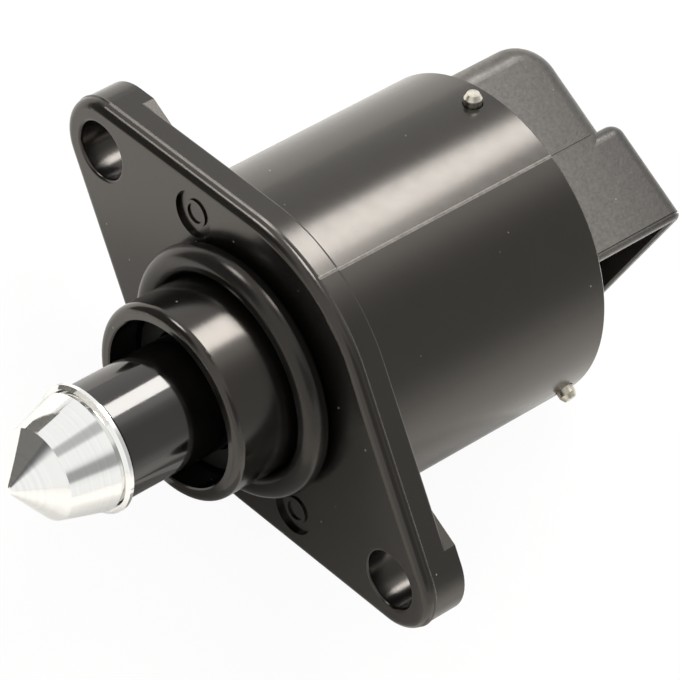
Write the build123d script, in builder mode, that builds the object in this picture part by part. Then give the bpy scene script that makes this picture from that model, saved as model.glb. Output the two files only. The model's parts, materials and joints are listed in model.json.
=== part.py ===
"""Idle air control valve: a stepper motor drives a pintle in and out of a flanged housing.

Frame: Y is the valve's axis, from the pintle's tip (-Y) to the plug socket (+Y). X is the flange's
long axis and the plug socket opens towards +X. Z is up. The origin is the centre of the flange's
front face. Sizes are in millimetres, and every section drawn in the XY plane gives radius as X.
"""
import os
from math import cos, radians, sin, sqrt

from build123d import *

# Housing: flange, shell and spigot
body_r = 18.0
body_end_y = 32.6
shell_wall = 1.8
shell_edge = 0.25
flange_rim = 0.5
flange_tip_r = 5.5
flange_thickness = 3.9
flange_edge_r = 0.95
flange_back_r = 0.35
bolt_spacing = 52.0
bolt_hole_r = 3.2
bolt_hole_edge_r = 0.35
pad_rise = 1.2
pad_half_width = 5.8
spigot_r = 10.7
spigot_length = 9.85
spigot_wall = 1.65
spigot_edge_r = 0.9
bore_edge = 0.15
flash_height = 0.12
flash_root = 0.03
flash_width = 0.5
seam_angle = 91.2
seam_height = 0.05
seam_root = 0.05
seam_width = 0.3
recess_r = 2.6
recess_depth = 0.45
recess_ring_r = 1.5
recess_ring_width = 0.4
recess_ring_height = 0.2
recess_place = (14.1, 7.9)
core_outer_seat = 1.7
core_inner_seat = 3.95
core_depth = 2.6

# Seal at the foot of the spigot
seal_section_r = 1.55

# Pintle
shank_reach = 9.65
collar_step = 0.65
collar_width = 1.1
collar_edge = 0.35
groove_width = 0.35
groove_depth = 0.25
cone_step = 0.55
cone_taper = 1.42
cone_length = 5.05
tip_length = 4.1
tip_round = 0.8
stub_r = 3.2
stub_length = 5.0
shank_edge = 0.3
key_width = 2.0
key_depth = 1.0
retract_travel = 8.0

# Lead screw and guide bush
screw_r = 2.4
screw_grip = 8.0
guide_inset = 3.85
guide_wall = 2.5
guide_edge = 0.4

# Motor
motor_shoulder = 2.7
plate_thickness = 0.9
plate_lip = 0.8
steel = 0.9
spool_wall = 0.8
rotor_extra = 0.9
claw_count = 6
claw_root = 3.4
claw_tip = 1.8
claw_gap = 0.8
magnet_in_r = 5.0
air_gap = 0.4
journal_r = 3.6
bearing_out_r = 5.8
bearing_length = 2.8
washer_thickness = 0.3

# Rear cover and plug socket
plug_thickness = 4.5
hump_x = -14.5
hump_height = 12.7
hump_corner_r = 4.5
hump_edge_r = 2.4
socket_step_x = -2.1
socket_height = 15.1
socket_mouth_x = 9.9
socket_half_width = 10.5
socket_wall = 1.4
socket_edge_r = 1.8
socket_step_r = 1.5
crease_shift = 0.35
crease_width = 0.3
crease_depth = 0.1
lip_width = 0.4
lip_groove_width = 0.25
lip_groove_depth = 0.2
mouth_edge_r = 0.6
mouth_chamfer = 0.25
screw_pocket_depth = 1.0

# Terminals
blade_count = 4
blade_pitch = 4.2
blade_width = 1.6
blade_thickness = 0.8
blade_recess = 3.0
blade_point = 0.3
block_size = 2.2
block_height = 1.9

# Retaining pins
pin_angle = 121.5
pin_r = 0.95
pin_inset = 2.6
pin_depth = 5.6
pin_proud = 1.25
pin_lead = 0.55
pin_edge = 0.3

# Clearances
slip = 0.1
running = 0.3
end_clear = 0.6
pin_clear = 0.12
winding_clear = 0.6
collar_clear = 1.0

# Places that follow from the sizes above
flange_waist_r = body_r + flange_rim
spigot_bore_r = spigot_r - spigot_wall
guide_length = spigot_length - guide_inset
shank_hole_r = spigot_bore_r - guide_wall
shank_r = shank_hole_r - running
collar_r = shank_r + collar_step
cone_base_r = collar_r - cone_step
cone_edge_r = cone_base_r - cone_taper
collar_y = -spigot_length - shank_reach
cone_base_y = collar_y - collar_width - groove_width
cone_edge_y = cone_base_y - cone_length
tip_y = cone_edge_y - tip_length
bay_r = body_r - shell_wall
motor_r = bay_r - slip
motor_y = flange_thickness + motor_shoulder
core_in_r = shank_hole_r + core_inner_seat
core_out_r = bay_r - core_outer_seat
stack_y = motor_y + plate_thickness
cover_y = body_end_y - plug_thickness
middle_y = (stack_y + cover_y) / 2
spool_length = middle_y - stack_y - 2 * steel
screw_hole_r = screw_r + running
cup_in_r = motor_r - steel
coil_out_r = cup_in_r - winding_clear
motor_room = coil_out_r - spool_wall - slip - steel - air_gap - screw_hole_r
magnet_r = screw_hole_r + (motor_room + rotor_extra) / 2
claw_in_r = magnet_r + air_gap
claw_out_r = claw_in_r + steel
spool_in_r = claw_out_r + slip
coil_in_r = spool_in_r + spool_wall
bearing_in_r = journal_r + running
bearing_collar_r = claw_in_r - collar_clear
front_bearing_y = motor_y + plate_lip
front_bearing_end_y = front_bearing_y + bearing_length
rear_bearing_y = cover_y - bearing_length
rotor_y = front_bearing_end_y + washer_thickness + running
rotor_end_y = rear_bearing_y - washer_thickness - running
shank_end_y = motor_y - end_clear - retract_travel
screw_end_y = cover_y + screw_pocket_depth - end_clear - retract_travel
hump_end_y = body_end_y + hump_height
socket_end_y = body_end_y + socket_height
socket_floor_x = socket_step_x + socket_wall
crease_x = socket_step_x + crease_shift
block_length = (blade_count - 1) * blade_pitch + 2 * blade_width
block_x = block_size / 2 + slip - sqrt(coil_out_r**2 - (block_length / 2) ** 2)
tail_y = cover_y - steel + block_height
blade_y = (body_end_y + socket_end_y) / 2
pin_y = body_end_y - pin_inset

os.makedirs("parts", exist_ok=True)


def across(y):
    """Plane square to the valve's axis at y, facing +Y, with local y towards -Z."""
    return Plane(origin=(0, y, 0), x_dir=(1, 0, 0), z_dir=(0, 1, 0))


def radial(angle, y):
    """Plane through the axis at y, facing outwards at an angle from +X, with local x along the axis."""
    turn = radians(angle)
    return Plane(origin=(0, y, 0), x_dir=(0, 1, 0), z_dir=(cos(turn), 0, sin(turn)))


def keep(piece, name):
    """Label a finished piece and write its file."""
    piece.part.label = name
    export_step(piece.part, f"parts/{name}.step")


def ring(inner_r, outer_r, start_y, end_y):
    """A plain ring round the valve's axis."""
    with BuildPart() as made:
        with BuildSketch(across(start_y)):
            Circle(outer_r)
            Circle(inner_r, mode=Mode.SUBTRACT)
        extrude(amount=end_y - start_y)
    return made


def claws(root_y, reach, first_angle):
    """A ring of tapered pole claws that stand up from root_y by reach, which may point either way."""
    with BuildPart() as made:
        for step in range(claw_count):
            angle = first_angle + step * 360 / claw_count
            with BuildSketch(radial(angle, root_y)):
                with BuildLine():
                    Polyline(
                        (0, -claw_root / 2),
                        (reach, -claw_tip / 2),
                        (reach, claw_tip / 2),
                        (0, claw_root / 2),
                        close=True,
                    )
                make_face()
            extrude(amount=claw_out_r + steel)
        with BuildSketch(across(root_y)):
            Circle(claw_out_r)
            Circle(claw_in_r, mode=Mode.SUBTRACT)
        extrude(amount=reach, mode=Mode.INTERSECT)
    return made


# Housing

pin_angles = [0, pin_angle, -pin_angle]
bolt_places = [(-bolt_spacing / 2, 0), (bolt_spacing / 2, 0)]


def flange_outline(growth):
    """Outline drawn tight round the shell's rim and both bolt eyes, grown by the given amount."""
    with BuildSketch() as made:
        Circle(flange_waist_r + growth)
        with Locations(*bolt_places):
            Circle(flange_tip_r + growth)
        make_hull()
    return made.sketch_local


with BuildPart() as flange:
    with BuildSketch(across(0)):
        add(flange_outline(0))
    extrude(amount=flange_thickness)
    fillet(flange.faces().sort_by(Axis.Y)[0].edges(), flange_edge_r)
    fillet(flange.faces().sort_by(Axis.Y)[-1].edges(), flange_back_r)

# Parting line of the mould: a fine roof-shaped ridge round the flange's edge
with BuildPart() as flash:
    for root_y in (flange_edge_r, flange_edge_r + flash_width):
        with BuildSketch(across(root_y)):
            add(flange_outline(-flash_root))
        with BuildSketch(across(flange_edge_r + flash_width / 2)):
            add(flange_outline(flash_height))
        loft(ruled=True)

# Straight-sided pad behind the bolt holes, from tip to tip through the shell
with BuildPart() as pad:
    with BuildSketch(across(flange_thickness - flange_back_r)):
        add(flange_outline(0))
        Rectangle(2 * bolt_spacing, 2 * pad_half_width, mode=Mode.INTERSECT)
    extrude(amount=flange_back_r + pad_rise)

with BuildPart() as shell:
    with BuildSketch(across(flange_edge_r)):
        Circle(body_r)
    extrude(amount=body_end_y - flange_edge_r)
    chamfer(shell.faces().sort_by(Axis.Y)[-1].edges(), shell_edge)

with BuildPart() as housing:
    add(flange.part)
    add(flash.part)
    add(pad.part)
    add(shell.part)

    # The same parting line along both sides of the shell, and over the flange's rim
    ridges = [(flange_waist_r, flange_thickness - flange_back_r), (body_r, body_end_y - shell_edge)]
    for ridge_r, ridge_end_y in ridges:
        with BuildSketch(across(flange_edge_r)):
            with PolarLocations(ridge_r, 2, -seam_angle):
                Polygon(
                    (-seam_root, -seam_width / 2),
                    (seam_height, 0),
                    (-seam_root, seam_width / 2),
                    align=None,
                )
        extrude(amount=ridge_end_y - flange_edge_r)

    with BuildSketch(across(0)):
        Circle(spigot_r)
    extrude(amount=-spigot_length)
    fillet(housing.faces().sort_by(Axis.Y)[0].edges(), spigot_edge_r)

    # Bore for the guide bush, passage for the shank, motor bay and the moulding's core behind the flange
    with BuildSketch(Plane.XY):
        with BuildLine():
            Polyline(
                (0, -spigot_length),
                (spigot_bore_r + bore_edge, -spigot_length),
                (spigot_bore_r, -spigot_length + bore_edge),
                (spigot_bore_r, 0),
                (shank_hole_r, 0),
                (shank_hole_r, motor_y),
                (core_in_r, motor_y),
                (core_in_r, motor_y - core_depth),
                (core_out_r, motor_y - core_depth),
                (core_out_r, motor_y),
                (bay_r, motor_y),
                (bay_r, body_end_y),
                (0, body_end_y),
                close=True,
            )
        make_face()
    revolve(axis=Axis.Y, mode=Mode.SUBTRACT)

    # Bolt holes, eased at the front face
    with BuildSketch(across(0)):
        with Locations(*bolt_places):
            Circle(bolt_hole_r)
    extrude(amount=flange_thickness + pad_rise, mode=Mode.SUBTRACT)
    fillet(
        housing.edges()
        .filter_by(GeomType.CIRCLE)
        .filter_by(lambda edge: abs(edge.radius - bolt_hole_r) < 0.01 and abs(edge.center().Y) < 0.01),
        bolt_hole_edge_r,
    )

    # Two plain round recesses in the flange's front face, opposite each other, each with a low ring in it
    recess_places = [(-recess_place[0], -recess_place[1]), recess_place]
    with BuildSketch(across(0)):
        with Locations(*recess_places):
            Circle(recess_r)
    extrude(amount=recess_depth, mode=Mode.SUBTRACT)
    with BuildSketch(across(recess_depth)):
        with Locations(*recess_places):
            Circle(recess_ring_r)
            Circle(recess_ring_r - recess_ring_width, mode=Mode.SUBTRACT)
    extrude(amount=-recess_ring_height)

    # Radial holes for the retaining pins
    for angle in pin_angles:
        with BuildSketch(radial(angle, pin_y).offset(body_r - 2 * shell_wall)):
            Circle(pin_r + pin_clear)
        extrude(amount=3 * shell_wall, mode=Mode.SUBTRACT)
keep(housing, "housing")

# Seal ring, seated on the spigot and the flange's face
with BuildPart() as o_ring:
    with BuildSketch(Plane.XY):
        with Locations((spigot_r + seal_section_r, -seal_section_r)):
            Circle(seal_section_r)
    revolve(axis=Axis.Y)
keep(o_ring, "o_ring")

# Guide bush: its key stops the shank from turning
with BuildPart() as guide_bush:
    with BuildSketch(across(-guide_length)):
        Circle(spigot_bore_r)
        Circle(shank_hole_r, mode=Mode.SUBTRACT)
        with Locations((0, shank_hole_r - key_depth / 2)):
            Rectangle(key_width - 2 * running, key_depth)
    extrude(amount=guide_length)
    chamfer(
        guide_bush.faces().sort_by(Axis.Y)[0].edges().filter_by(GeomType.CIRCLE).sort_by(SortBy.RADIUS)[-1],
        guide_edge,
    )
keep(guide_bush, "guide_bush")

# Pintle tip: a turned cone with a collar, a fine groove and a stub that sits in the shank
with BuildPart() as pintle_tip:
    with BuildSketch(Plane.XY):
        with BuildLine():
            Polyline(
                (0, collar_y + stub_length),
                (stub_r, collar_y + stub_length),
                (stub_r, collar_y),
                (collar_r - collar_edge, collar_y),
                (collar_r, collar_y - collar_edge),
                (collar_r, collar_y - collar_width + collar_edge),
                (collar_r - collar_edge, collar_y - collar_width),
                (cone_base_r - groove_depth, collar_y - collar_width),
                (cone_base_r - groove_depth, cone_base_y),
                (cone_base_r, cone_base_y),
                (cone_edge_r, cone_edge_y),
                (0, tip_y),
            )
            mirror(about=Plane.YZ)
        make_face()
        fillet(vertices().sort_by(Axis.Y)[0], tip_round)
        split(bisect_by=Plane.YZ)
    revolve(axis=Axis.Y)
keep(pintle_tip, "pintle_tip")

# Pintle shank: hollow for the tip's stub and the lead screw, with a keyway along its underside
with BuildPart() as pintle_shank:
    with BuildSketch(across(collar_y)):
        Circle(shank_r)
    extrude(amount=shank_end_y - collar_y)
    chamfer(pintle_shank.faces().sort_by(Axis.Y)[-1].edges(), shank_edge)
    with BuildSketch(across(collar_y)):
        Circle(stub_r)
    extrude(amount=stub_length, mode=Mode.SUBTRACT)
    with BuildSketch(across(shank_end_y)):
        Circle(screw_r)
    extrude(amount=-screw_grip, mode=Mode.SUBTRACT)
    with BuildSketch(across(-guide_length - retract_travel - end_clear)):
        with Locations((0, shank_r)):
            Rectangle(key_width, 2 * key_depth)
    extrude(amount=shank_end_y + guide_length + retract_travel + end_clear, mode=Mode.SUBTRACT)
keep(pintle_shank, "pintle_shank")

# Lead screw, fixed in the shank
with BuildPart() as lead_screw:
    with BuildSketch(across(shank_end_y - screw_grip)):
        Circle(screw_r)
    extrude(amount=screw_end_y - shank_end_y + screw_grip)
    chamfer(lead_screw.faces().sort_by(Axis.Y)[-1].edges(), shank_edge)
keep(lead_screw, "lead_screw")

# Rotor: a magnet ring on a hub whose bore is threaded for the screw
with BuildPart() as rotor_hub:
    with BuildSketch(Plane.XY):
        with BuildLine():
            Polyline(
                (screw_hole_r, front_bearing_y),
                (journal_r, front_bearing_y),
                (journal_r, rotor_y),
                (magnet_in_r, rotor_y),
                (magnet_in_r, rotor_end_y),
                (journal_r, rotor_end_y),
                (journal_r, cover_y - running),
                (screw_hole_r, cover_y - running),
                close=True,
            )
        make_face()
    revolve(axis=Axis.Y)
keep(rotor_hub, "rotor_hub")

rotor_magnet = ring(magnet_in_r, magnet_r, rotor_y, rotor_end_y)
keep(rotor_magnet, "rotor_magnet")

# Bearing plate: closes the motor's front and carries the front bearing in its collar
with BuildPart() as bearing_plate:
    with BuildSketch(Plane.XY):
        with BuildLine():
            Polyline(
                (bearing_in_r, motor_y),
                (motor_r, motor_y),
                (motor_r, stack_y),
                (bearing_collar_r, stack_y),
                (bearing_collar_r, front_bearing_end_y),
                (bearing_out_r, front_bearing_end_y),
                (bearing_out_r, front_bearing_y),
                (bearing_in_r, front_bearing_y),
                close=True,
            )
        make_face()
    revolve(axis=Axis.Y)
keep(bearing_plate, "bearing_plate")

front_bearing = ring(bearing_in_r, bearing_out_r, front_bearing_y, front_bearing_end_y)
keep(front_bearing, "front_bearing")

rear_bearing = ring(bearing_in_r, bearing_out_r, rear_bearing_y, cover_y)
keep(rear_bearing, "rear_bearing")

front_washer = ring(bearing_in_r, bearing_out_r, front_bearing_end_y, front_bearing_end_y + washer_thickness)
keep(front_washer, "thrust_washer_front")

rear_washer = ring(bearing_in_r, bearing_out_r, rear_bearing_y - washer_thickness, rear_bearing_y)
keep(rear_washer, "thrust_washer_rear")

# Stator: each phase is a cup and a plate with interleaved claws, and a spool with its winding between
half_step = 180 / claw_count
claw_reach = steel + spool_length - claw_gap
front_cup_claws = claws(stack_y, claw_reach, 0)
front_plate_claws = claws(middle_y, -claw_reach, half_step)
rear_plate_claws = claws(middle_y, claw_reach, half_step / 2)
rear_cup_claws = claws(cover_y, -claw_reach, half_step / 2 + half_step)

with BuildPart() as stator_cup_front:
    with BuildSketch(across(stack_y)):
        Circle(motor_r)
        Circle(claw_in_r, mode=Mode.SUBTRACT)
    extrude(amount=steel)
    with BuildSketch(across(stack_y)):
        Circle(motor_r)
        Circle(cup_in_r, mode=Mode.SUBTRACT)
    extrude(amount=steel + spool_length)
    add(front_cup_claws.part)
keep(stator_cup_front, "stator_cup_front")

with BuildPart() as pole_plate_front:
    with BuildSketch(across(middle_y)):
        Circle(motor_r)
        Circle(claw_in_r, mode=Mode.SUBTRACT)
    extrude(amount=-steel)
    add(front_plate_claws.part)
keep(pole_plate_front, "pole_plate_front")

with BuildPart() as pole_plate_rear:
    with BuildSketch(across(middle_y)):
        Circle(motor_r)
        Circle(claw_in_r, mode=Mode.SUBTRACT)
    extrude(amount=steel)
    add(rear_plate_claws.part)
keep(pole_plate_rear, "pole_plate_rear")

with BuildPart() as stator_cup_rear:
    with BuildSketch(across(cover_y)):
        Circle(motor_r)
        Circle(claw_in_r, mode=Mode.SUBTRACT)
    extrude(amount=-steel)
    with BuildSketch(across(cover_y)):
        Circle(motor_r)
        Circle(cup_in_r, mode=Mode.SUBTRACT)
    extrude(amount=-steel - spool_length)
    add(rear_cup_claws.part)
    with BuildSketch(across(cover_y)):
        with Locations((block_x, 0)):
            Rectangle(block_size + 2 * slip, block_length + 2 * slip)
    extrude(amount=-steel, mode=Mode.SUBTRACT)
keep(stator_cup_rear, "stator_cup_rear")


def spool(start_y):
    """A winding spool between the claws and the cup's wall."""
    end_y = start_y + spool_length
    with BuildPart() as made:
        with BuildSketch(Plane.XY):
            with BuildLine():
                Polyline(
                    (spool_in_r, start_y),
                    (coil_out_r, start_y),
                    (coil_out_r, start_y + spool_wall),
                    (coil_in_r, start_y + spool_wall),
                    (coil_in_r, end_y - spool_wall),
                    (coil_out_r, end_y - spool_wall),
                    (coil_out_r, end_y),
                    (spool_in_r, end_y),
                    close=True,
                )
            make_face()
        revolve(axis=Axis.Y)
    return made


front_spool_y = stack_y + steel
rear_spool_y = middle_y + steel

bobbin_front = spool(front_spool_y)
keep(bobbin_front, "bobbin_front")

rear_spool = spool(rear_spool_y)
with BuildPart() as bobbin_rear:
    add(rear_spool.part)
    with BuildSketch(across(cover_y - steel)):
        with Locations((block_x, 0)):
            Rectangle(block_size, block_length)
    extrude(amount=block_height)
keep(bobbin_rear, "bobbin_rear")

coil_length = spool_length - 2 * spool_wall
front_coil_y = front_spool_y + spool_wall
coil_front = ring(coil_in_r, coil_out_r, front_coil_y, front_coil_y + coil_length)
keep(coil_front, "coil_front")

rear_coil_y = rear_spool_y + spool_wall
coil_rear = ring(coil_in_r, coil_out_r, rear_coil_y, rear_coil_y + coil_length)
keep(coil_rear, "coil_rear")

# Terminals: bent blades from the plug socket down to the spool's lead block
blade_places = [(step - (blade_count - 1) / 2) * blade_pitch for step in range(blade_count)]
blade_tip_x = socket_mouth_x - blade_recess


def blade(z):
    """One terminal, centred at height z."""
    low = blade_y - blade_thickness / 2
    high = blade_y + blade_thickness / 2
    left = block_x - blade_thickness / 2
    right = block_x + blade_thickness / 2
    with BuildPart() as made:
        with BuildSketch(Plane.XY.offset(z)):
            with BuildLine():
                Polyline(
                    (left, tail_y),
                    (right, tail_y),
                    (right, low),
                    (blade_tip_x - blade_point, low),
                    (blade_tip_x, low + blade_point),
                    (blade_tip_x, high - blade_point),
                    (blade_tip_x - blade_point, high),
                    (left, high),
                    close=True,
                )
            make_face()
        extrude(amount=blade_width / 2, both=True)
    return made


blades = [blade(z) for z in blade_places]
for terminal, letter in zip(blades, "abcd"):
    keep(terminal, f"terminal_{letter}")

# Retaining pins: pressed into the cover through the shell
pins = []
for angle in pin_angles:
    with BuildPart() as pin:
        with BuildSketch(radial(angle, pin_y).offset(bay_r - pin_depth)):
            Circle(pin_r)
        extrude(amount=pin_depth + shell_wall + pin_proud)
        outer_end = pin.faces().sort_by(Axis((0, 0, 0), (cos(radians(angle)), 0, sin(radians(angle)))))[-1]
        chamfer(outer_end.edges(), pin_edge, pin_lead, reference=outer_end)
    pins.append(pin)
for pin, letter in zip(pins, "abc"):
    keep(pin, f"retaining_pin_{letter}")

# Rear cover: the hump and the sideways plug socket stand on a plug that closes the shell
with BuildPart() as hump:
    with BuildSketch(Plane.XY):
        with Locations((hump_x, body_end_y)):
            Rectangle(socket_step_x + socket_step_r - hump_x, hump_height, align=(Align.MIN, Align.MIN))
        fillet(vertices().group_by(Axis.X)[0].sort_by(Axis.Y)[-1], hump_corner_r)
    extrude(amount=socket_half_width, both=True)
    side_edges = hump.edges().group_by(Axis.Z)[0] + hump.edges().group_by(Axis.Z)[-1]
    outer_edges = side_edges.filter_by(lambda edge: edge.center().Y > body_end_y + slip)
    fillet(outer_edges.filter_by(lambda edge: edge.center().X < socket_step_x), hump_edge_r)

with BuildPart() as socket:
    with BuildSketch(Plane.YZ.offset(socket_step_x)):
        with Locations((body_end_y, 0)):
            Rectangle(socket_height, 2 * socket_half_width, align=(Align.MIN, Align.CENTER))
        fillet(vertices().group_by(Axis.Y)[-1], socket_edge_r)
    extrude(amount=socket_mouth_x - socket_step_x)
    step_face = socket.faces().sort_by(Axis.X)[0]
    fillet(step_face.edges().sort_by(Axis.Y)[-1], socket_step_r)
    mouth_face = socket.faces().sort_by(Axis.X)[-1]
    fillet(mouth_face.edges().sort_by(Axis.Y)[-1], mouth_edge_r)

    # Fine groove round the outside, a little behind the mouth
    with BuildSketch(Plane.YZ.offset(socket_mouth_x - lip_width)):
        with Locations((body_end_y, 0)):
            Rectangle(socket_height, 2 * socket_half_width, align=(Align.MIN, Align.CENTER))
        with Locations((body_end_y - socket_edge_r, 0)):
            RectangleRounded(
                socket_height + socket_edge_r - lip_groove_depth,
                2 * (socket_half_width - lip_groove_depth),
                socket_edge_r - lip_groove_depth,
                align=(Align.MIN, Align.CENTER),
                mode=Mode.SUBTRACT,
            )
    extrude(amount=-lip_groove_width, mode=Mode.SUBTRACT)

with BuildPart() as rear_cover:
    with BuildSketch(Plane.XY):
        with BuildLine():
            Polyline(
                (0, cover_y + screw_pocket_depth),
                (screw_hole_r, cover_y + screw_pocket_depth),
                (screw_hole_r, cover_y),
                (bearing_out_r, cover_y),
                (bearing_out_r, rear_bearing_y),
                (bearing_collar_r, rear_bearing_y),
                (bearing_collar_r, cover_y),
                (motor_r, cover_y),
                (motor_r, body_end_y),
                (0, body_end_y),
                close=True,
            )
        make_face()
    revolve(axis=Axis.Y)
    add(hump.part)
    add(socket.part)

    # Crease down both sides, where the hump meets the socket
    with BuildSketch(across(body_end_y)):
        with Locations((crease_x, -socket_half_width), (crease_x, socket_half_width)):
            Rectangle(crease_width, 2 * crease_depth)
    extrude(amount=hump_height, mode=Mode.SUBTRACT)

    # Inside of the plug socket
    with BuildSketch(Plane.YZ.offset(socket_floor_x)):
        with Locations((body_end_y + socket_wall, 0)):
            Rectangle(
                socket_height - 2 * socket_wall,
                2 * (socket_half_width - socket_wall),
                align=(Align.MIN, Align.CENTER),
            )
    extrude(amount=socket_mouth_x - socket_floor_x, mode=Mode.SUBTRACT)
    chamfer(rear_cover.faces().sort_by(Axis.X)[-1].inner_wires()[0].edges(), mouth_chamfer)

    # Seats for the terminals, the spool's lead block and the retaining pins
    for terminal in blades:
        add(terminal.part, mode=Mode.SUBTRACT)
    with BuildSketch(across(cover_y)):
        with Locations((block_x, 0)):
            Rectangle(block_size + 2 * slip, block_length + 2 * slip)
    extrude(amount=tail_y - cover_y, mode=Mode.SUBTRACT)
    for angle in pin_angles:
        with BuildSketch(radial(angle, pin_y).offset(bay_r - pin_depth)):
            Circle(pin_r)
        extrude(amount=pin_depth, mode=Mode.SUBTRACT)
keep(rear_cover, "rear_cover")
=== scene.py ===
"""Studio scene of the idle air control valve: camera, light, floor and the finish of every piece."""
import json
import math

import bpy
from mathutils import Matrix, Vector


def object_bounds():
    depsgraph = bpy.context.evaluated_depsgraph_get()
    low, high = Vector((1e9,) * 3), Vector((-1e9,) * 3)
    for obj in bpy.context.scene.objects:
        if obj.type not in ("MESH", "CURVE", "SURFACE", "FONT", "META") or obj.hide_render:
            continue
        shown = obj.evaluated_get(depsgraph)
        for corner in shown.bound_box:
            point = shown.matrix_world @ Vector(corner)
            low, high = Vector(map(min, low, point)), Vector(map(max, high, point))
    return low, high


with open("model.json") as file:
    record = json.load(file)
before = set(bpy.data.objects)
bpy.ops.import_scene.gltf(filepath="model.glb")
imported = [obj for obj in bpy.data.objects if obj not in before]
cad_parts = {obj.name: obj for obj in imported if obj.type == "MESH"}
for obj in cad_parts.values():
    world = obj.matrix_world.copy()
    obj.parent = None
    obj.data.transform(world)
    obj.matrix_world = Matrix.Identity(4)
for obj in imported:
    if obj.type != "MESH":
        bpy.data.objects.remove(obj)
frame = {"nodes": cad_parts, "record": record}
cad_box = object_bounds()
scene = bpy.context.scene
nodes = frame["nodes"]
mounts = {mount["name"]: mount for mount in frame["record"]["mounts"]}

MM = 0.001
WHITE = (1, 1, 1, 1)

# Directions of the part's frame: along the flange, along the valve's axis, and up
FLANGE_WAY = (1, 0, 0)
AXIS_WAY = (0, 1, 0)
UP_WAY = (0, 0, 1)

# Camera: the photograph's viewpoint in the part's frame, with the picture's upward direction
CAMERA_PLACE = Vector((80.4, -256.1, 424.2)) * MM
CAMERA_TARGET = Vector((3.314, 8.152, 4.505)) * MM
CAMERA_NEAR = 10 * MM
PICTURE_UP = Vector((-0.819, 0.406, 0.406))
FOCAL_PIXELS = 5059
PICTURE_PIXELS = 680
SENSOR = 36.0

# Light: one softbox up behind the valve's shoulder in a pale room, sizes in metres
STUDIO_CENTRE = Vector((0, 5, 0)) * MM
KEY_DIRECTION = Vector((-0.44, 0.465, 0.768)).normalized()
KEY_LONG_WAY = Vector((-0.5, 0.5, -0.7))
KEY_DISTANCE = 0.6
KEY_SIZE = (0.161, 0.36)
KEY_BRIGHTNESS = 11.8
ROOM_LEVEL = 1.05

# Lighter and darker parts of the room: direction, inner and outer radius in degrees, brightness
ROOM_PARTS = (
    ((-0.80, -0.60, 0.15), 22, 42, 0.15),
    ((0.60, 0.50, 0.60), 18, 40, 0.62),
    ((0.75, -0.02, 0.66), 4, 15, 0.40),
    ((-0.22, -0.04, 0.97), 4, 14, 0.55),
    ((-0.28, 0.55, 0.79), 4, 22, 1.8),
    ((-0.82, -0.28, 0.48), 4, 12, 11.5),
    ((0.68, -0.35, 0.64), 10, 26, 0.4),
)

# Floor of slightly warm paper, size in metres, with the share of plain white that each kind of ray sees in it
FLOOR_SIZE = 3.0
FLOOR_Z = cad_box[0][2]
FLOOR_TONE = 0.97
FLOOR_GLOW = {"Is Camera Ray": 0.94, "Is Glossy Ray": 0.15, "Is Transmission Ray": 0.94}
PAPER_CAST = (1.0, 0.97, 0.92)

# Cards which only the reflections see, giving painted shade and light in them: tone, then corners in
# millimetres, with the height above the floor. The first three put painted shaded and bright reflections in
# the tip, and the others a painted floor shadow in the flange's foot.
CARDS = (
    (0.16, ((-37, -18, 0.1), (-19, -61, 0.1), (-92, -159, 46.6), (-158, -4, 46.6))),
    (0.97, ((-1, -28.5, 26.6), (-1, -28.5, 31.6), (-12, -25, 25.1), (-12, -25, 21.1))),
    (0.30, ((-17, -26.5, 15.6), (-17, -26.5, 26.1), (-17, -21.5, 26.1), (-17, -21.5, 15.6))),
    (0.75, ((5, -0.5, 0.2), (5, -15, 9.6), (40, -15, 9.6), (40, -0.5, 0.2))),
    (0.33, ((20, 5, 0.2), (50, 5, 0.2), (50, 13, 0.2), (20, 13, 0.2))),
    (0.74, ((20, 13, 0.2), (60, 13, 0.2), (60, 36, 0.2), (20, 36, 0.2))),
)

# Sockets of Blender's Mix node that take and give colours; they share their names with those for numbers
MIX_COLOURS_IN = (6, 7)
MIX_COLOUR_OUT = 2

# Noise mostly lies in this range, and a moulding's gloss varies in patches of this size in millimetres
NOISE_RANGE = (0.3, 0.7)
GLOSS_PATCH = 1.2

# Black plastics: tones, the tint of their shine, and the spigot's smoother skin with where it begins, in mm
BLACK_TONES = ((0.002, 0.0019, 0.0016), (0.003, 0.0028, 0.0024))
BLACK_SHEEN = (1.0, 0.92, 0.83, 1)
SHANK_SHEEN = (1.0, 0.96, 0.92, 1)
SPIGOT_GLOSS = 0.76
SPIGOT_FADE_Y = (-0.4, 0.0)

# Housing's parting lines, painted pale as a highlight and rubbed pale by wear: the seam along the shell and
# the ridge round the flange. Places and widths are in millimetres, and the seam's angle round the axis in
# degrees.
# The ridge's painted highlight and wear go from its first value, at the bolt on the left, to its second, at
# the axis and beyond.
SEAM_ANGLE = 91.2
SEAM_FROM_R = 17.9
SEAM_HALF = 0.13
SEAM_SOFT = 0.07
RIDGE_Y = 1.2
RIDGE_FROM_R = 12.0
RIDGE_HALF = 0.05
RIDGE_SOFT = 0.10
RIDGE_HIGHLIGHT_AND_WEAR = (0.2, 0.12)
BOLT_X = mounts["flange_bolts"]["dims"]["spacing_x_mm"] / 2
BOLT_EYE_R = 4.6
# Pale tones, patches and roughness of the painted highlight and wear on the parting lines; the dust specks
# share the tones and roughness
HIGHLIGHT_WEAR_AND_DUST_TONES = ((0.15, 0.14, 0.125), (0.24, 0.225, 0.20))
HIGHLIGHT_WEAR_AND_DUST_ROUGHNESS = 0.25
HIGHLIGHT_AND_WEAR_PATCH = 0.9
HIGHLIGHT_WEAR_AND_DUST_GRAIN = 0.4
HIGHLIGHT_AND_WEAR_SHARE = (0.6, 1.0)

# Dust specks: distance apart and radius in millimetres. Those on the cover have their own mottle and tones.
HOUSING_SPECKS = (2.2, 0.13)
COVER_SPECKS = (1.9, 0.11)
DUST_MOTTLE = 2.0
DUST_TONES = ((0.16, 0.15, 0.135), (0.26, 0.25, 0.225))
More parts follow.
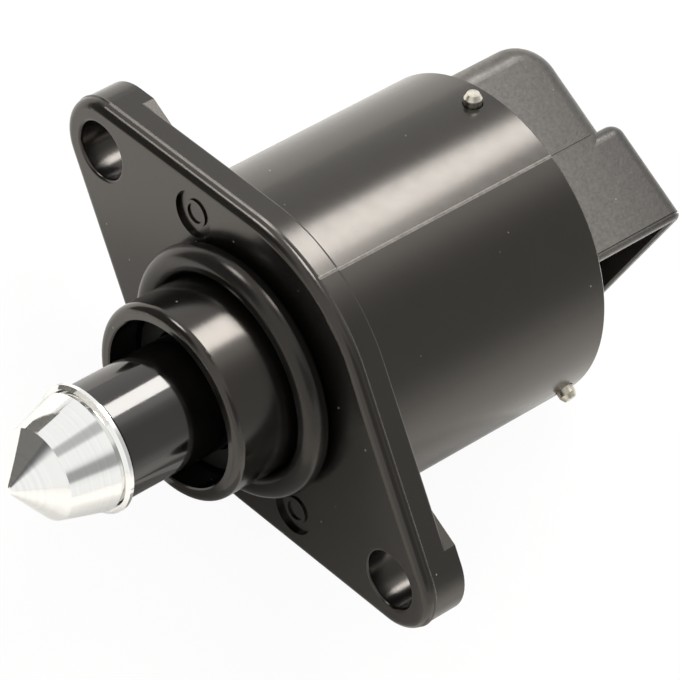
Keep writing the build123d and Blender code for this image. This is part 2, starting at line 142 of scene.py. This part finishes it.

# Rear cover: tones of its mottle and of the painted shade over its rear, the tint of its shine, and in
# millimetres the mottle's size and where along the axis the painted shade comes in
COVER_TONES = ((0.064, 0.0595, 0.0525), (0.108, 0.101, 0.091))
COVER_PAINTED_SHADE_TONES = ((0.022, 0.0205, 0.018), (0.036, 0.034, 0.0305))
COVER_SHEEN = (1.0, 0.95, 0.9, 1)
COVER_MOTTLE = 0.45
COVER_SHADE_FADE_Y = (35.0, 46.5)

# Painted shade in the room inside the plug socket, in millimetres: its floor, half width, two end walls and
# mottle, and the tones of the painted shade
SOCKET_FLOOR_X = -0.8
SOCKET_HALF_Z = 9.2
SOCKET_MIDDLE_Y = mounts["plug_socket"]["pos_m"][1] / MM
SOCKET_HALF_Y = 6.25
SOCKET_SOFT = 0.1
SOCKET_MOTTLE = 2.0
SOCKET_PAINTED_SHADE_TONES = ((0.010, 0.0095, 0.009), (0.016, 0.015, 0.014))

# Turned metal: how far its shine is drawn out to a streak, from 0 to 1
TURNED_STREAK = 0.35

# Winding, in millimetres: distance from turn to turn, depth of the grooves between, and patches of its
# tone and gloss; the enamel on the wire makes it less metallic
WIRE_PITCH = 0.2
WIRE_GROOVE = 0.05
WIRE_TONE_PATCH = 1.5
WIRE_GLOSS_PATCH = 0.8
WIRE_METALLIC = 0.8


def look_rotation(forward, up):
    """Rotation whose -Z looks along forward and whose Y is as near up as it can be."""
    back = -forward.normalized()
    right = up.cross(back).normalized()
    top = back.cross(right)
    return Matrix((right, top, back)).transposed()


def add_object(name, data):
    """Link a new object into the scene."""
    made = bpy.data.objects.new(name, data)
    scene.collection.objects.link(made)
    return made


def add_sheet(name, corners, material):
    """Add a flat sheet between four corners."""
    mesh = bpy.data.meshes.new(name)
    mesh.from_pydata(corners, [], [range(len(corners))])
    mesh.materials.append(material)
    return add_object(name, mesh)


def empty_tree(owner):
    """Give a material or a world a node tree with nothing in it."""
    owner.use_nodes = True
    owner.node_tree.nodes.clear()
    return owner.node_tree


def mix_to_output(tree, share, first, second, output):
    """Send two shaders to the output, mixed by a share."""
    choose = tree.nodes.new("ShaderNodeMixShader")
    tree.links.new(share, choose.inputs["Fac"])
    tree.links.new(first.outputs[0], choose.inputs[1])
    tree.links.new(second.outputs[0], choose.inputs[2])
    tree.links.new(choose.outputs[0], output.inputs["Surface"])


def set_camera():
    """Put the camera at the photograph's viewpoint."""
    data = bpy.data.cameras.new("camera")
    data.sensor_fit = "HORIZONTAL"
    data.sensor_width = SENSOR
    data.lens = SENSOR * FOCAL_PIXELS / PICTURE_PIXELS
    data.clip_start = CAMERA_NEAR
    camera = add_object("camera", data)
    turn = look_rotation(CAMERA_TARGET - CAMERA_PLACE, PICTURE_UP)
    camera.matrix_world = Matrix.Translation(CAMERA_PLACE) @ turn.to_4x4()
    scene.camera = camera


def set_softbox():
    """Add the softbox, with its energy worked out from its brightness and its area."""
    data = bpy.data.lights.new("softbox", "AREA")
    data.shape = "RECTANGLE"
    data.size, data.size_y = KEY_SIZE
    data.energy = KEY_BRIGHTNESS * math.pi * KEY_SIZE[0] * KEY_SIZE[1]
    lamp = add_object("softbox", data)
    turn = look_rotation(-KEY_DIRECTION, KEY_LONG_WAY)
    lamp.matrix_world = Matrix.Translation(STUDIO_CENTRE + KEY_DIRECTION * KEY_DISTANCE) @ turn.to_4x4()


def add_room_part(tree, place, level, part):
    """Blend one part of the room into the level so far, and give the new level."""
    direction, inner, outer, brightness = part
    toward = tree.nodes.new("ShaderNodeVectorMath")
    toward.operation = "DOT_PRODUCT"
    toward.inputs[1].default_value = Vector(direction).normalized()
    fade = tree.nodes.new("ShaderNodeMapRange")
    fade.interpolation_type = "SMOOTHSTEP"
    fade.inputs["From Min"].default_value = math.cos(math.radians(outer))
    fade.inputs["From Max"].default_value = math.cos(math.radians(inner))
    blend = tree.nodes.new("ShaderNodeMix")
    blend.inputs["A"].default_value = ROOM_LEVEL
    blend.inputs["B"].default_value = brightness
    tree.links.new(place, toward.inputs[0])
    tree.links.new(toward.outputs["Value"], fade.inputs["Value"])
    tree.links.new(fade.outputs["Result"], blend.inputs["Factor"])
    if level:
        tree.links.new(level, blend.inputs["A"])
    return blend.outputs["Result"]


def set_room():
    """Put the room round the valve, and plain white where the camera looks past the floor."""
    world = bpy.data.worlds.new("room")
    scene.world = world
    tree = empty_tree(world)
    place = tree.nodes.new("ShaderNodeTexCoord").outputs["Generated"]
    level = None
    for part in ROOM_PARTS:
        level = add_room_part(tree, place, level, part)
    room = tree.nodes.new("ShaderNodeBackground")
    room.inputs["Color"].default_value = WHITE
    tree.links.new(level, room.inputs["Strength"])
    paper = tree.nodes.new("ShaderNodeBackground")
    paper.inputs["Color"].default_value = WHITE
    paper.inputs["Strength"].default_value = 1.0
    path = tree.nodes.new("ShaderNodeLightPath")
    output = tree.nodes.new("ShaderNodeOutputWorld")
    mix_to_output(tree, path.outputs["Is Camera Ray"], room, paper, output)


def paper_colour(tone):
    """Colour of slightly warm paper of a given tone."""
    return (*(tone * share for share in PAPER_CAST), 1)


def set_floor():
    """Add the pale floor under the valve: near white to the eye, with a soft shadow."""
    material = bpy.data.materials.new("floor_paper")
    tree = empty_tree(material)
    paper = tree.nodes.new("ShaderNodeBsdfDiffuse")
    paper.inputs["Color"].default_value = paper_colour(FLOOR_TONE)
    glow = tree.nodes.new("ShaderNodeEmission")
    glow.inputs["Color"].default_value = WHITE
    glow.inputs["Strength"].default_value = 1.0
    path = tree.nodes.new("ShaderNodeLightPath")
    output = tree.nodes.new("ShaderNodeOutputMaterial")
    share = None
    for ray, glow_share in FLOOR_GLOW.items():
        part = tree.nodes.new("ShaderNodeMath")
        part.operation = "MULTIPLY_ADD"
        part.inputs[1].default_value = glow_share
        part.inputs[2].default_value = 0.0
        tree.links.new(path.outputs[ray], part.inputs[0])
        if share:
            tree.links.new(share, part.inputs[2])
        share = part.outputs[0]
    mix_to_output(tree, share, paper, glow, output)
    half = FLOOR_SIZE / 2
    corners = [(-half, -half, FLOOR_Z), (half, -half, FLOOR_Z), (half, half, FLOOR_Z), (-half, half, FLOOR_Z)]
    floor = add_sheet("floor", corners, material)


def set_cards():
    """Add the cards, which neither the camera nor the shadows see; they put painted shade and light into the
    reflections.
    """
    for number, (tone, corners) in enumerate(CARDS):
        material = bpy.data.materials.new(f"painted_reflection_card_{number}")
        tree = empty_tree(material)
        grey = tree.nodes.new("ShaderNodeBsdfDiffuse")
        grey.inputs["Color"].default_value = paper_colour(tone)
        output = tree.nodes.new("ShaderNodeOutputMaterial")
        tree.links.new(grey.outputs[0], output.inputs["Surface"])
        places = [(x * MM, y * MM, FLOOR_Z + height * MM) for x, y, height in corners]
        card = add_sheet(f"card_{number}", places, material)
        # Only reflections see these cards: painted shade and light in the reflections
        card.visible_camera = False
        card.visible_diffuse = False
        card.visible_shadow = False


class Finish:
    """A procedural material, built up node by node in the part's own coordinates."""

    def __init__(self, name):
        self.material = bpy.data.materials.new(name)
        self.material.use_nodes = True
        self.tree = self.material.node_tree
        self.shader = self.tree.nodes["Principled BSDF"]
        self.place = self.tree.nodes.new("ShaderNodeTexCoord").outputs["Object"]

    def node(self, kind, **values):
        """Add a node and set its inputs by name."""
        made = self.tree.nodes.new(kind)
        for key, value in values.items():
            made.inputs[key.replace("_", " ")].default_value = value
        return made

    def link(self, source, target):
        """Join two sockets."""
        self.tree.links.new(source, target)

    def feed(self, name, source):
        """Drive an input of the shader."""
        self.link(source, self.shader.inputs[name])

    def fed(self, name):
        """What drives an input of the shader so far."""
        return self.shader.inputs[name].links[0].from_socket

    def noise(self, grain_mm, detail=2.0):
        """Noise with grains of a given size."""
        made = self.node("ShaderNodeTexNoise", Scale=1 / (grain_mm * MM), Detail=detail, Roughness=0.5)
        self.link(self.place, made.inputs["Vector"])
        return made.outputs["Fac"]

    def rings(self, line_mm):
        """Fine uneven rings round the valve's axis, as a lathe leaves them."""
        made = self.node("ShaderNodeTexNoise", Scale=1 / (line_mm * MM), Detail=4.0, Roughness=0.6)
        made.noise_dimensions = "1D"
        self.link(self.along(AXIS_WAY), made.inputs["W"])
        return made.outputs["Fac"]

    def spread(self, value, low, high, span=NOISE_RANGE):
        """Map a value across a span to low..high."""
        start, end = span
        made = self.node("ShaderNodeMapRange", From_Min=start, From_Max=end, To_Min=low, To_Max=high)
        self.link(value, made.inputs["Value"])
        return made.outputs["Result"]

    def ramp(self, distance, span_mm, low, high):
        """Map a distance across a span in millimetres to low..high."""
        return self.spread(distance, low, high, [place * MM for place in span_mm])

    def tint(self, value, low, high):
        """Map a noise value to a mix of two colours."""
        made = self.tree.nodes.new("ShaderNodeValToRGB")
        for element, place, colour in zip(made.color_ramp.elements, NOISE_RANGE, (low, high)):
            element.position = place
            element.color = (*colour, 1)
        self.link(value, made.inputs["Fac"])
        return made.outputs["Color"]

    def specks(self, apart_mm, radius_mm):
        """Scattered dots of dust or wear, about one in each second cell."""
        made = self.node("ShaderNodeTexVoronoi", Scale=1 / (apart_mm * MM))
        self.link(self.place, made.inputs["Vector"])
        split = self.tree.nodes.new("ShaderNodeSeparateColor")
        self.link(made.outputs["Color"], split.inputs["Color"])
        share = radius_mm / apart_mm
        dot = self.spread(made.outputs["Distance"], 1.0, 0.0, (share / 2, share))
        return self.product(dot, self.maths("GREATER_THAN", split.outputs["Red"], 0.5))

    def along(self, direction):
        """Distance along a direction, in metres."""
        made = self.tree.nodes.new("ShaderNodeVectorMath")
        made.operation = "DOT_PRODUCT"
        made.inputs[1].default_value = direction
        self.link(self.place, made.inputs[0])
        return made.outputs["Value"]

    def maths(self, operation, *values):
        """Work out an operation on values, each a socket or a number."""
        made = self.tree.nodes.new("ShaderNodeMath")
        made.operation = operation
        for socket, value in zip(made.inputs, values):
            if isinstance(value, (int, float)):
                socket.default_value = value
            else:
                self.link(value, socket)
        return made.outputs[0]

    def product(self, value, *others):
        """Multiply values."""
        for other in others:
            value = self.maths("MULTIPLY", value, other)
        return value

    def radius(self, first, second):
        """Length of two distances at right angles."""
        squares = [self.maths("POWER", distance, 2) for distance in (first, second)]
        return self.maths("SQRT", self.maths("ADD", *squares))

    def line(self, distance, place_mm, half_mm, soft_mm):
        """1 where a distance lies within half_mm of a place, fading to 0 over soft_mm."""
        off = self.maths("ABSOLUTE", self.maths("SUBTRACT", distance, place_mm * MM))
        return self.ramp(off, (half_mm, half_mm + soft_mm), 1.0, 0.0)

    def beyond(self, distance, place_mm):
        """1 where a distance is larger than a place."""
        return self.maths("GREATER_THAN", distance, place_mm * MM)

    def blend(self, share, first, second):
        """Mix two colours by a share."""
        made = self.tree.nodes.new("ShaderNodeMix")
        made.data_type = "RGBA"
        self.link(share, made.inputs["Factor"])
        for number, colour in zip(MIX_COLOURS_IN, (first, second)):
            self.link(colour, made.inputs[number])
        return made.outputs[MIX_COLOUR_OUT]

    def bump(self, height, depth_mm):
        """Roughen the surface by a height value."""
        made = self.node("ShaderNodeBump", Strength=1.0, Distance=depth_mm * MM)
        self.link(height, made.inputs["Height"])
        self.feed("Normal", made.outputs["Normal"])

    def wear(self, *names):
        """Give the finish to CAD nodes."""
        for name in names:
            mesh = nodes[name].data
            mesh.materials.clear()
            mesh.materials.append(self.material)


def moulded(name, tones, roughness, ior, grain_mm, depth_mm, mottle_mm=3.0):
    """Moulded plastic or rubber with a faint mottle and a fine skin."""
    made = Finish(name)
    made.shader.inputs["IOR"].default_value = ior
    made.feed("Base Color", made.tint(made.noise(mottle_mm, detail=3.0), *tones))
    made.feed("Roughness", made.spread(made.noise(GLOSS_PATCH), *roughness))
    made.bump(made.noise(grain_mm), depth_mm)
    return made


def housing_plastic():
    """Glossy black moulding, smoother on the spigot, with dust and with its parting lines painted pale as a
    highlight and as wear.
    """
    made = moulded(
        "black_gloss", BLACK_TONES, roughness=(0.20, 0.23), ior=1.62, grain_mm=0.2, depth_mm=0.0018,
    )
    made.shader.inputs["Specular Tint"].default_value = BLACK_SHEEN
    width, depth, height = (made.along(way) for way in (FLANGE_WAY, AXIS_WAY, UP_WAY))
    from_axis = made.radius(width, height)

    tilt = math.radians(SEAM_ANGLE)
    from_seam = made.along((math.sin(tilt), 0, -math.cos(tilt)))
    seam = made.line(from_seam, 0, SEAM_HALF, SEAM_SOFT)
    seam = made.product(seam, made.beyond(from_axis, SEAM_FROM_R), made.beyond(depth, RIDGE_Y))

    from_bolt = made.maths("SUBTRACT", made.maths("ABSOLUTE", width), BOLT_X * MM)
    from_bolt = made.radius(from_bolt, height)
    ridge = made.line(depth, RIDGE_Y, RIDGE_HALF, RIDGE_SOFT)
    ridge = made.product(ridge, made.beyond(from_axis, RIDGE_FROM_R), made.beyond(from_bolt, BOLT_EYE_R))
    ridge = made.product(ridge, made.ramp(width, (-BOLT_X, 0), *RIDGE_HIGHLIGHT_AND_WEAR))

    # Painted highlight with wear along the seam and the ridge, then the dust specks, all in the same pale
    # tones
    highlight_wear_and_dust = made.maths("MAXIMUM", seam, ridge)
    highlight_wear_and_dust = made.product(highlight_wear_and_dust, made.spread(made.noise(HIGHLIGHT_AND_WEAR_PATCH, detail=3.0), *HIGHLIGHT_AND_WEAR_SHARE))
    highlight_wear_and_dust = made.maths("MAXIMUM", highlight_wear_and_dust, made.specks(*HOUSING_SPECKS))
    pale = made.tint(made.noise(HIGHLIGHT_WEAR_AND_DUST_GRAIN), *HIGHLIGHT_WEAR_AND_DUST_TONES)
    made.feed("Base Color", made.blend(highlight_wear_and_dust, made.fed("Base Color"), pale))

    smoother = made.ramp(depth, SPIGOT_FADE_Y, SPIGOT_GLOSS, 1.0)
    skin = made.product(made.fed("Roughness"), smoother)
    made.feed("Roughness", made.maths("MULTIPLY_ADD", highlight_wear_and_dust, HIGHLIGHT_WEAR_AND_DUST_ROUGHNESS, skin))
    return made


def cover_plastic():
    """Matte mottled grey-black moulding with dust, with painted shade towards the rear and inside the plug
    socket.
    """
    made = moulded(
        "cover_matte", COVER_TONES, roughness=(0.31, 0.40), ior=1.52, grain_mm=0.35, depth_mm=0.016,
        mottle_mm=COVER_MOTTLE,
    )
    made.shader.inputs["Specular Tint"].default_value = COVER_SHEEN
    width, depth, height = (made.along(way) for way in (FLANGE_WAY, AXIS_WAY, UP_WAY))

    # Painted shade: the cover's colour grows deeper towards its rear end
    rear = made.tint(made.noise(COVER_MOTTLE, detail=3.0), *COVER_PAINTED_SHADE_TONES)
    grey = made.blend(made.ramp(depth, COVER_SHADE_FADE_Y, 0.0, 1.0), made.fed("Base Color"), rear)
    dust = made.tint(made.noise(DUST_MOTTLE), *DUST_TONES)
    grey = made.blend(made.specks(*COVER_SPECKS), grey, dust)

    # Painted shade inside the plug socket's recess
    between_sides = made.line(height, 0, SOCKET_HALF_Z, SOCKET_SOFT)
    between_ends = made.line(depth, SOCKET_MIDDLE_Y, SOCKET_HALF_Y, SOCKET_SOFT)
    inside = made.product(between_sides, made.beyond(width, SOCKET_FLOOR_X), between_ends)
    socket_shade = made.tint(made.noise(SOCKET_MOTTLE), *SOCKET_PAINTED_SHADE_TONES)
    made.feed("Base Color", made.blend(inside, grey, socket_shade))
    return made


def bare_metal(name):
    """A finish of plain metal, which still needs its colour and its roughness."""
    made = Finish(name)
    made.shader.inputs["Metallic"].default_value = 1.0
    return made


def metal(name, tones, roughness, grain_mm, depth_mm):
    """Bare metal with a faint cast and a fine grain."""
    made = bare_metal(name)
    made.feed("Base Color", made.tint(made.noise(grain_mm * 4, detail=3.0), *tones))
    made.feed("Roughness", made.spread(made.noise(grain_mm, detail=3.0), *roughness))
    made.bump(made.noise(grain_mm, detail=3.0), depth_mm)
    return made


def turned_metal(name, tones, roughness, line_mm, depth_mm):
    """Lathe-turned metal: fine rings round the valve's axis."""
    made = bare_metal(name)
    made.shader.inputs["Anisotropic"].default_value = TURNED_STREAK
    rings = made.rings(line_mm)
    made.feed("Base Color", made.tint(rings, *tones))
    made.feed("Roughness", made.spread(rings, *roughness))
    made.bump(rings, depth_mm)
    return made


def wound_wire(name, tones, roughness):
    """Enamelled copper wire, wound in turns along the valve's axis."""
    made = Finish(name)
    made.shader.inputs["Metallic"].default_value = WIRE_METALLIC
    made.feed("Base Color", made.tint(made.noise(WIRE_TONE_PATCH), *tones))
    made.feed("Roughness", made.spread(made.noise(WIRE_GLOSS_PATCH), *roughness))
    turns = made.maths("SINE", made.product(made.along(AXIS_WAY), 2 * math.pi / (WIRE_PITCH * MM)))
    made.bump(turns, WIRE_GROOVE)
    return made


def set_plastics():
    """Give the mouldings and the seal ring their finishes."""
    housing_plastic().wear("housing")
    cover_plastic().wear("rear_cover")

    tones = ((0.003, 0.0028, 0.0024), (0.005, 0.0047, 0.0041))
    shank = moulded("shank_gloss", tones, roughness=(0.07, 0.10), ior=1.68, grain_mm=0.4, depth_mm=0.0002)
    shank.shader.inputs["Specular Tint"].default_value = SHANK_SHEEN
    shank.wear("pintle_shank")

    tones = ((0.004, 0.0038, 0.0034), (0.006, 0.0057, 0.0052))
    rubber = moulded("seal_rubber", tones, roughness=(0.21, 0.25), ior=1.47, grain_mm=0.3, depth_mm=0.0008)
    rubber.shader.inputs["Specular Tint"].default_value = BLACK_SHEEN
    rubber.wear("o_ring")

    tones = ((0.003, 0.0028, 0.0025), (0.005, 0.0047, 0.0042))
    bush = moulded("bush_plastic", tones, roughness=(0.5, 0.6), ior=1.3, grain_mm=0.2, depth_mm=0.004)
    bush.wear("guide_bush")

    tones = ((0.42, 0.40, 0.35), (0.50, 0.48, 0.43))
    spool = moulded("spool_plastic", tones, roughness=(0.45, 0.6), ior=1.5, grain_mm=0.2, depth_mm=0.004)
    spool.wear("bobbin_front", "bobbin_rear")


def set_metals():
    """Give the metal pieces, the magnet and the windings their finishes."""
    tones = ((0.80, 0.80, 0.78), (0.86, 0.86, 0.84))
    tip = turned_metal("turned_aluminium", tones, roughness=(0.06, 0.10), line_mm=0.25, depth_mm=0.0002)
    tip.wear("pintle_tip")

    tones = ((0.42, 0.42, 0.42), (0.6, 0.6, 0.6))
    screw = turned_metal("screw_steel", tones, roughness=(0.2, 0.35), line_mm=0.3, depth_mm=0.03)
    screw.wear("lead_screw")

    tones = ((0.46, 0.42, 0.34), (0.68, 0.64, 0.56))
    pin = metal("pin_steel", tones, roughness=(0.22, 0.4), grain_mm=0.4, depth_mm=0.02)
    pin.wear("retaining_pin_a", "retaining_pin_b", "retaining_pin_c")
    pin.wear("thrust_washer_front", "thrust_washer_rear")

    tones = ((0.45, 0.45, 0.46), (0.58, 0.58, 0.6))
    sheet = metal("sheet_steel", tones, roughness=(0.3, 0.45), grain_mm=0.5, depth_mm=0.01)
    sheet.wear("bearing_plate", "stator_cup_front", "stator_cup_rear", "pole_plate_front", "pole_plate_rear")

    tones = ((0.36, 0.2, 0.08), (0.52, 0.33, 0.16))
    bronze = metal("sintered_bronze", tones, roughness=(0.4, 0.55), grain_mm=0.15, depth_mm=0.02)
    bronze.wear("front_bearing", "rear_bearing", "rotor_hub")

    tones = ((0.04, 0.04, 0.045), (0.07, 0.07, 0.075))
    ferrite = metal("ferrite", tones, roughness=(0.45, 0.6), grain_mm=0.2, depth_mm=0.02)
    ferrite.wear("rotor_magnet")

    tones = ((0.55, 0.53, 0.48), (0.7, 0.68, 0.64))
    tinned = metal("tinned_brass", tones, roughness=(0.25, 0.4), grain_mm=0.3, depth_mm=0.008)
    tinned.wear("terminal_a", "terminal_b", "terminal_c", "terminal_d")

    tones = ((0.42, 0.13, 0.04), (0.62, 0.24, 0.09))
    wound_wire("copper_wire", tones, roughness=(0.25, 0.4)).wear("coil_front", "coil_rear")


scene.view_settings.view_transform = "Standard"
set_camera()
set_softbox()
set_room()
set_floor()
set_cards()
set_plastics()
set_metals()
